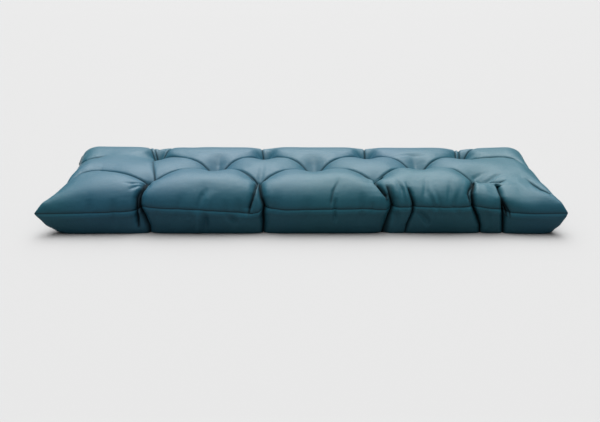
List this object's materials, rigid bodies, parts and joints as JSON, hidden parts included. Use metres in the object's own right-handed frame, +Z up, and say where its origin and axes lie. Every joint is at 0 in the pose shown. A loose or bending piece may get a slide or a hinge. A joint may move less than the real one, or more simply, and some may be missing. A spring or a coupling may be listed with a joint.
{
  "type": "bench cushion",
  "caption": "Long tufted bench cushion of two sewn fabric panels with pointed corners, a diamond pattern of drawn-in tufts and a flat underside to lie on a seat.",
  "frame": {"origin": "middle of the underside, on the surface that the cushion lies on", "axes": "+X along the cushion's length, -Y towards its front edge, +Z up out of its tufted face"},
  "size_m": [1.5, 0.52, 0.1736],
  "materials": {
    "cover": "closely woven polyester with a soft sheen"
  },
  "bodies": {
    "root": {"cushion": "cover"}
  },
  "joints": []
}
